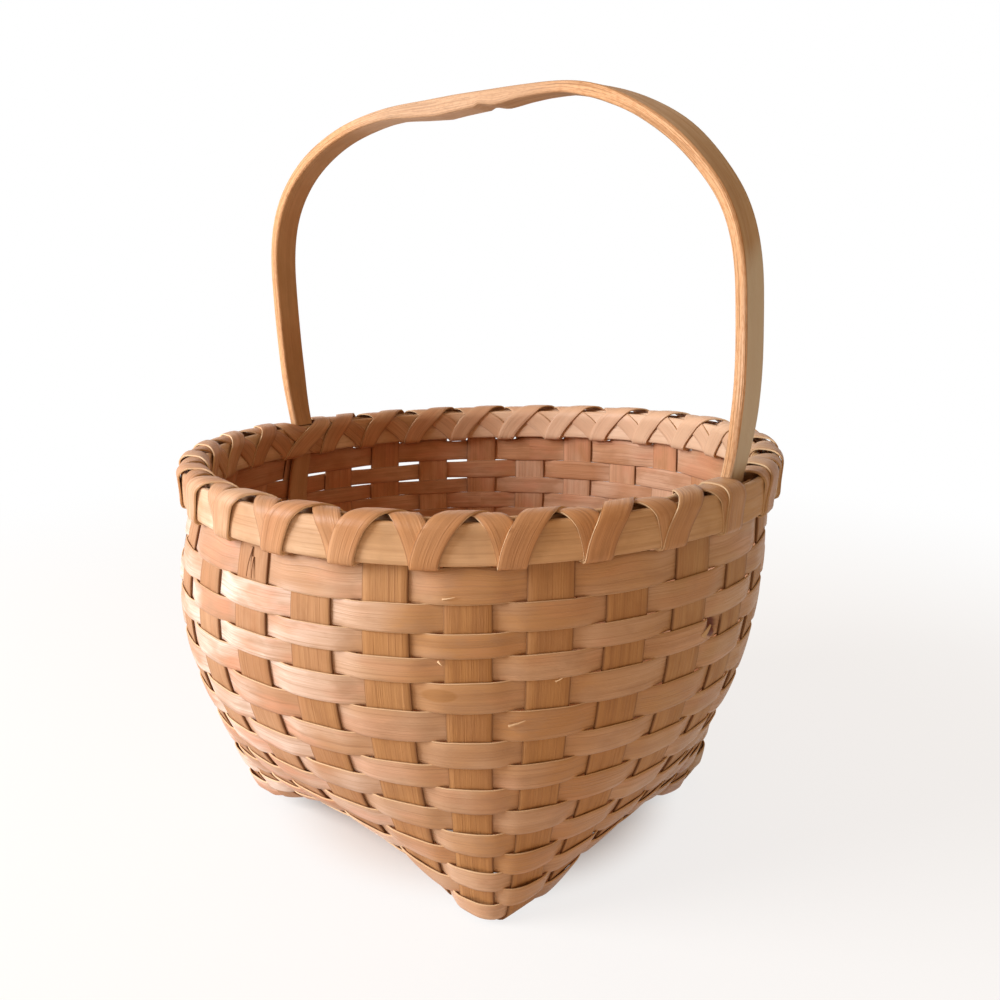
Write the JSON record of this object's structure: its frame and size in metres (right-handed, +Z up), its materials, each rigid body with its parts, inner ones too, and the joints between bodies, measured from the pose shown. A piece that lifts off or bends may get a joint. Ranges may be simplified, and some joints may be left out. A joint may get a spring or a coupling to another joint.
{
  "type": "woven splint basket",
  "caption": "Open splint basket with a square base that grows into a round lashed rim, and a fixed bent wood hoop handle over the top.",
  "frame": {"origin": "on the ground under the middle of the base", "axes": "+Z up, the handle runs along X, and the sides of the square base are parallel to X and Y"},
  "size_m": [0.305, 0.3054, 0.3654],
  "materials": {
    "stake_splint": "matte, split and scraped",
    "weaver_splint": "matte, split and scraped",
    "hoop_wood": "matte, shaved",
    "lashing_splint": "satin, split",
    "handle_wood": "satin, shaved and worn"
  },
  "bodies": {
    "root": {"stake_x_1": "stake_splint", "stake_x_2": "stake_splint", "stake_x_3": "stake_splint", "stake_x_4": "stake_splint", "stake_x_5": "stake_splint", "stake_x_6": "stake_splint", "stake_x_7": "stake_splint", "stake_y_1": "stake_splint", "stake_y_2": "stake_splint", "stake_y_3": "stake_splint", "stake_y_4": "stake_splint", "stake_y_5": "stake_splint", "stake_y_6": "stake_splint", "stake_y_7": "stake_splint", "weaver_01": "weaver_splint", "weaver_02": "weaver_splint", "weaver_03": "weaver_splint", "weaver_04": "weaver_splint", "weaver_05": "weaver_splint", "weaver_06": "weaver_splint", "weaver_07": "weaver_splint", "weaver_08": "weaver_splint", "weaver_09": "weaver_splint", "weaver_10": "weaver_splint", "weaver_11": "weaver_splint", "weaver_12": "weaver_splint", "weaver_13": "weaver_splint", "weaver_14": "weaver_splint", "weaver_15": "weaver_splint", "weaver_rim": "weaver_splint", "outer_hoop": "hoop_wood", "inner_hoop": "hoop_wood", "lashing_under": "lashing_splint", "lashing_over": "lashing_splint", "handle": "handle_wood"}
  },
  "joints": []
}
